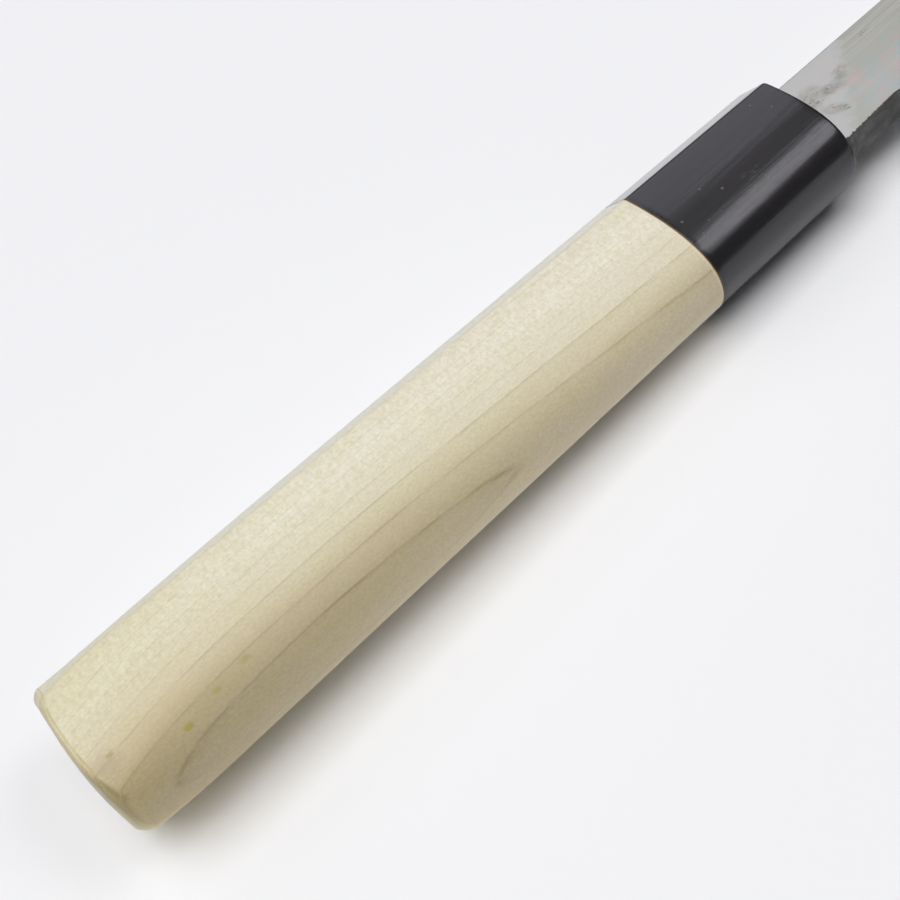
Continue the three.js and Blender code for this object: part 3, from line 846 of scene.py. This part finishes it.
def steel_material():
    """Hard steel, ground across the edge."""
    s = Shader("polished_steel")
    brush = s.noise(s.knife_space(), *STEEL_NOISE)
    colour = s.mix(s.spread(brush, *NOISE_SPAN), STEEL_DARK, STEEL_LIGHT)
    rough = s.spread(brush, *NOISE_SPAN, *STEEL_ROUGHNESS)
    return s.finish(Base_Color=colour, Metallic=1.0, Roughness=rough, Normal=s.bump(brush, *METAL_BUMP))


# Pieces

def butt_fade(x):
    """1 at the butt, falling to 0 where its doming has died out along the handle."""
    return np.clip(1 - (x + HANDLE_LENGTH) / BUTT_DOME_FADE, 0, 1) ** 2


def domed(ring):
    """Moves a ring forward by the butt's doming, which fades out along the handle."""
    x, y, z = ring.T
    away = (y - BUTT_DOME_MIDDLE) ** 2 + (BUTT_DOME_FLATNESS * z) ** 2
    fall = BUTT_DOME * (1 - np.exp(-away * BUTT_DOME_RATE / BUTT_DOME))
    return np.c_[x + fall * butt_fade(x), y, z]


def rim_round(section):
    """Extra rounding of the butt's rim, towards the edge side of the handle and at its ridge."""
    y, z = section.T
    low = smooth_step((BUTT_CORNER_TOP - y) / BUTT_CORNER_SPAN)
    ridge = [smooth_step((v - start) / BUTT_RIDGE_SPAN) for v, start in zip((y, z), BUTT_RIDGE_FROM)]
    return BUTT_CORNER * low + BUTT_RIDGE_ROUND * ridge[0] * ridge[1]


def rim_ring(angle):
    """Ring of the butt's rounded rim, at an angle from RIM_FIRST at the end to RIM_LAST at the side."""
    section = handle_section(-HANDLE_LENGTH + BUTT_CHAMFER)
    radius = BUTT_CHAMFER + rim_round(section)
    inset = radius * (math.cos(RIM_LAST) - math.cos(angle))
    inward = section.mean(axis=0) - section
    inward /= np.linalg.norm(inward, axis=1, keepdims=True)
    x = -HANDLE_LENGTH + radius * (math.sin(RIM_FIRST) - math.sin(angle))
    return np.c_[x, section + inward * inset[:, None]]


def butt_rings():
    """Rings of the domed butt and its eased rim, from the middle of the end outwards."""
    rim = [rim_ring(angle) for angle in np.linspace(RIM_FIRST, RIM_LAST, RIM_RINGS)]
    middle = rim[0].mean(axis=0)
    shares = np.linspace(END_FIRST, END_LAST, END_RINGS)
    face = [middle + (rim[0] - middle) * share for share in shares]
    return [domed(ring) for ring in face + rim]


def body_ring(x):
    """Ring of the handle's side, making room for the rounder corner of the butt."""
    section = handle_section(x)
    shift = rim_round(section) * (math.sin(RIM_FIRST) - math.sin(RIM_LAST)) * butt_fade(x)
    return domed(np.c_[x + shift, section])


def rim_marks(rings, count):
    """Mark of each vertex: the butt has count rings, and along the side the mark is in millimetres."""
    crease = rings[count - 1][:, 0].mean()
    values = [ON_END] * (count - RIM_RINGS) + list(np.linspace(1, 0, RIM_RINGS))
    values += [crease - ring[:, 0].mean() for ring in rings[count:]]
    return np.repeat(values, len(rings[0]))


def build_handle(material):
    """Wooden handle with its tenon and the tang's bore."""
    rings = butt_rings()
    butt_count = len(rings)
    side = np.linspace(-HANDLE_LENGTH + BUTT_CHAMFER, JOINT_X - JOINT_EASE, BODY_RINGS)[1:]
    rings += [body_ring(x) for x in side]
    rings.append(ring_at(JOINT_X, handle_section(JOINT_X, JOINT_INSET)))
    outline = handle_section(JOINT_X)
    end = -FERRULE_WALL - FIT_CLEARANCE
    for x in (JOINT_X, end):
        rings.append(inner_ring(x, outline, (0, 0), TENON_HEIGHT / 2, TENON_THICKNESS / 2, OVAL))
    for x in (end, -TANG_LENGTH - FIT_CLEARANCE):
        rings.append(inner_ring(x, outline, TANG_CENTRE, *tang_size(x, FIT_CLEARANCE), BOXY))
    handle = piece("wood_handle_skin", *loft(rings), "wood_handle", "wood", [material])
    rim = handle.data.attributes.new(RIM_MARK, "FLOAT", "POINT")
    rim.data.foreach_set("value", rim_marks(rings, butt_count))


def build_ferrule(material):
    """Horn collar, rounded at its front, with the tenon's socket and the tang's slot."""
    rings = [ring_at(-FERRULE_LENGTH, handle_section(-FERRULE_LENGTH, REAR_INSET))]
    for x in np.linspace(-FERRULE_LENGTH + REAR_EASE, -FERRULE_ROUND, FERRULE_RINGS):
        rings.append(ring_at(x, handle_section(x)))
    for angle in np.linspace(0, math.pi / 2, ROUND_RINGS)[1:]:
        x = -FERRULE_ROUND * (1 - math.sin(angle))
        rings.append(ring_at(x, handle_section(x, FERRULE_ROUND * (1 - math.cos(angle)))))
    outline = handle_section(0)
    for x in (0, -FERRULE_WALL):
        rings.append(inner_ring(x, outline, TANG_CENTRE, *tang_size(x, FIT_CLEARANCE), BOXY))
    socket = [n / 2 + FIT_CLEARANCE for n in (TENON_HEIGHT, TENON_THICKNESS)]
    for x in (-FERRULE_WALL, -FERRULE_LENGTH):
        rings.append(inner_ring(x, outline, (0, 0), *socket, OVAL))
    piece("horn_ferrule_skin", *loft(rings, closed=True), "horn_ferrule", "horn", [material])


def spine_y(x):
    """Spine line, rounded down at the tip's corner."""
    past = x - (TIP_X - TIP_CORNER_RADIUS)
    if past <= 0:
        return NECK_SPINE
    return NECK_SPINE - TIP_CORNER_RADIUS + math.sqrt(max(TIP_CORNER_RADIUS ** 2 - past ** 2, 0))


def tip_corner():
    """Places along x round the tip's corner, the last of them at the tip."""
    return TIP_X - TIP_CORNER_RADIUS * (1 - np.sin(np.linspace(0, math.pi / 2, TIP_RINGS)[1:]))


def neck_low(x):
    """Underside of the neck, running into the choil's arc."""
    if x <= CHOIL_X:
        return np.interp(x, (0, CHOIL_X), (NECK_UNDERSIDE, NECK_UNDERSIDE + NECK_NARROWING))
    return CHOIL_Y + math.sqrt(max(CHOIL_RADIUS ** 2 - (x - CHOIL_X) ** 2, 0))


def weld_y(x):
    """Where the weld comes out on the bevel."""
    rise = (WELD_LEVEL - BACK_LEVEL - EDGE_LAND) / (face_level(x) - BACK_LEVEL - EDGE_LAND)
    return EDGE_Y + BEVEL_WIDTH * rise


def iron_ring(x, low_y, wall_y, wall_z, bottom, inset=0.0):
    """Outline of the iron at x: spine, flat, then the bevel or the neck's wall, and the underside."""
    spine, top = spine_y(x) - inset, face_level(x) - inset
    corners = ((spine, bottom), (spine, top), (low_y, top), (wall_y, wall_z))
    return ring_at(x, rounded(corners, IRON_EASES))


def burr(x):
    """Raggedness of the neck's lower edge, dying out towards the heel."""
    waves = sum(math.sin(rate * x + start) for rate, start in BURR_WAVES)
    return BURR * waves * np.clip(1 - x / CHOIL_X, 0, 1)


def tang_ring(x):
    (y, z), (half_y, half_z) = TANG_CENTRE, tang_size(min(x, 0), 0)
    sides = ((1, -1), (1, 1), (-1, 1), (-1, -1))
    corners = [(y + a * half_y, z + b * half_z) for a, b in sides]
    return ring_at(x, rounded(corners, [TANG_EASE] * len(sides)))


def neck_ring(x):
    bottom = np.interp(x, (0, NECK_LENGTH), (NECK_BOTTOM, BACK_LEVEL))
    return iron_ring(x, neck_low(x) + burr(x), neck_low(x), bottom, bottom)


def blade_ring(x, inset=0.0):
    return iron_ring(x, BEVEL_TOP_Y, weld_y(x), WELD_LEVEL, WELD_LEVEL, inset)


def build_iron(iron, scale):
    """Soft iron body with neck and tang, its neck still dark from the forge on the underside."""
    rings = [tang_ring(x) for x in (-TANG_LENGTH, SHOULDER_GAP)]
    neck = [SHOULDER_GAP, *np.linspace(NECK_START, CHOIL_X, NECK_RINGS)]
    neck += [CHOIL_X + CHOIL_RADIUS * math.sin(a) for a in np.linspace(0, math.pi / 2, CHOIL_RINGS)[1:-1]]
    neck.append(NECK_LENGTH - HEEL_STEP)
    rings += [neck_ring(x) for x in neck]
    *corner, tip = tip_corner()
    straight = np.linspace(NECK_LENGTH, TIP_X - TIP_CORNER_RADIUS, BLADE_RINGS)
    rings += [blade_ring(x) for x in (*straight, *corner)]
    rings.append(blade_ring(tip, TIP_INSET))
    body = piece("blade_body_skin", *loft(rings), "blade_body", "iron", [iron, scale])
    darken_underside(body)


def darken_underside(body):
    """Gives the neck's underside and the choil the forge scale."""
    for face in body.data.polygons:
        x = (LEVEL @ face.center).x
        facing = (LEVEL.to_3x3() @ face.normal).normalized().y
        if SHOULDER_GAP < x < NECK_LENGTH + SCALE_MARGIN and facing < SCALE_FACING:
            face.material_index = 1


def hollow(x, y):
    """Depth of the hollow grind at a place on the back, running out towards its ends and rims."""
    half = BLADE_HEIGHT / 2 - HOLLOW_RIM
    off = (y - (NECK_SPINE + EDGE_Y) / 2) / half
    run = min(smooth_step((d - HOLLOW_END) / HOLLOW_RUNOUT) for d in (x - NECK_LENGTH, TIP_X - x))
    return HOLLOW_DEPTH * run * np.clip(1 - off * off, 0, None)


def steel_ring(x, inset=0.0):
    """Outline of the hard steel at x, with the hollow across its back."""
    weld = WELD_LEVEL - WELD_GAP - inset
    spine = spine_y(x) - inset
    land = BACK_LEVEL + EDGE_LAND
    rise = (weld - land) / (face_level(x) - land)
    top = np.array(((EDGE_Y + inset + HAIR, land), (EDGE_Y + BEVEL_WIDTH * rise, weld), (spine, weld)))
    across = np.linspace(spine - STEEL_EASE, EDGE_Y + EDGE_FLAT + inset, BACK_POINTS)
    back = np.c_[across, BACK_LEVEL + inset + hollow(x, across)]
    side = np.array(((spine, BACK_LEVEL + inset + STEEL_EASE),))
    return ring_at(x, np.concatenate((top, side, back)))


def build_steel(material):
    """Hard steel plate with the hollow-ground back and the cutting edge."""
    start = NECK_LENGTH + WELD_GAP
    straight = np.linspace(start + STEEL_INSET, TIP_X - TIP_CORNER_RADIUS, STEEL_RINGS)
    *corner, tip = tip_corner()
    rings = [steel_ring(start, STEEL_INSET)]
    rings += [steel_ring(x) for x in (*straight, *corner)]
    rings.append(steel_ring(tip, STEEL_INSET))
    piece("cutting_steel_skin", *loft(rings), "cutting_steel", "steel", [material])


# Stage, lamps and camera

FLOOR_COLOUR = (0.890, 0.891, 0.913)
FLOOR_REACH, FLOOR_POINTS = 6.0, 9
WORLD_LIGHT = (0.055, 0.055, 0.060)
LAMP_TARGET = (-0.09, 0.012, 0.0)
# Softboxes: azimuth and elevation in degrees, distance, width and height in metres, radiance, colour
SOFTBOXES = {
    "key": (194, 73, 3.1, 2.5, 3.4, 3.42, (1, 1, 1)),
    "back_panel": (121, 48, 3.0, 2.3, 1.5, 1.1, (1, 1, 1)),
    "far_panel": (61, 41, 3.0, 2.6, 1.9, 1.10, (1.0, 0.99, 1.04)),
    "ceiling": (12, 61, 3.2, 1.9, 0.9, 0.42, (1, 1, 1)),
    "side_strip": (-35, 50.8, 3.0, 1.3, 1.07, 3.45, (1, 1, 1)),
}
# White card that shows in reflections and casts no light
CARDS = ("far_panel",)


def floor_material():
    """Plain pale paper."""
    s = Shader("pale_floor")
    return s.finish(Base_Color=FLOOR_COLOUR, Roughness=1.0, Specular_IOR_Level=0.0)


def build_floor():
    mesh = bpy.data.meshes.new("floor")
    steps = np.linspace(-FLOOR_REACH, FLOOR_REACH, FLOOR_POINTS)
    verts = [(x, y, 0) for y in steps for x in steps]
    corners = [j * FLOOR_POINTS + i for j in range(FLOOR_POINTS - 1) for i in range(FLOOR_POINTS - 1)]
    faces = [(a, a + 1, a + FLOOR_POINTS + 1, a + FLOOR_POINTS) for a in corners]
    mesh.from_pydata(verts, [], faces)
    mesh.materials.append(floor_material())
    obj = bpy.data.objects.new("floor", mesh)
    bpy.context.scene.collection.objects.link(obj)


def build_lamps():
    """Soft lamps aimed at the handle, each with its radiance, and an even world."""
    for name, (azimuth, elevation, distance, width, height, radiance, colour) in SOFTBOXES.items():
        data = bpy.data.lights.new(name, "AREA")
        data.shape = "RECTANGLE"
        data.size, data.size_y = width, height
        data.energy = radiance * math.pi * width * height
        data.color = colour
        lamp = bpy.data.objects.new(name, data)
        a, e = math.radians(azimuth), math.radians(elevation)
        out = Vector((math.cos(a) * math.cos(e), math.sin(a) * math.cos(e), math.sin(e)))
        lamp.visible_diffuse = name not in CARDS
        lamp.location = Vector(LAMP_TARGET) + out * distance
        lamp.rotation_mode = "QUATERNION"
        lamp.rotation_quaternion = (-out).to_track_quat("-Z", "Y")
        bpy.context.scene.collection.objects.link(lamp)
    world = bpy.data.worlds.new("studio")
    world.use_nodes = True
    world.node_tree.nodes["Background"].inputs["Color"].default_value = (*WORLD_LIGHT, 1)
    bpy.context.scene.world = world


def build_camera():
    forward = Vector(CAMERA_FORWARD).normalized()
    right = Vector(CAMERA_RIGHT).normalized()
    up = right.cross(forward)
    data = bpy.data.cameras.new("camera")
    data.lens, data.sensor_width = CAMERA_LENS, SENSOR_WIDTH
    data.clip_start, data.clip_end = CAMERA_CLIP
    camera = bpy.data.objects.new("camera", data)
    turn = Matrix((right, up, -forward)).transposed().to_4x4()
    camera.matrix_world = Matrix.Translation(CAMERA_PLACE) @ turn
    bpy.context.scene.collection.objects.link(camera)
    bpy.context.scene.camera = camera


build_handle(wood_material())
build_ferrule(horn_material())
build_iron(iron_material(), scale_material())
build_steel(steel_material())
build_floor()
build_lamps()
build_camera()
bpy.context.scene.view_settings.view_transform = "Standard"
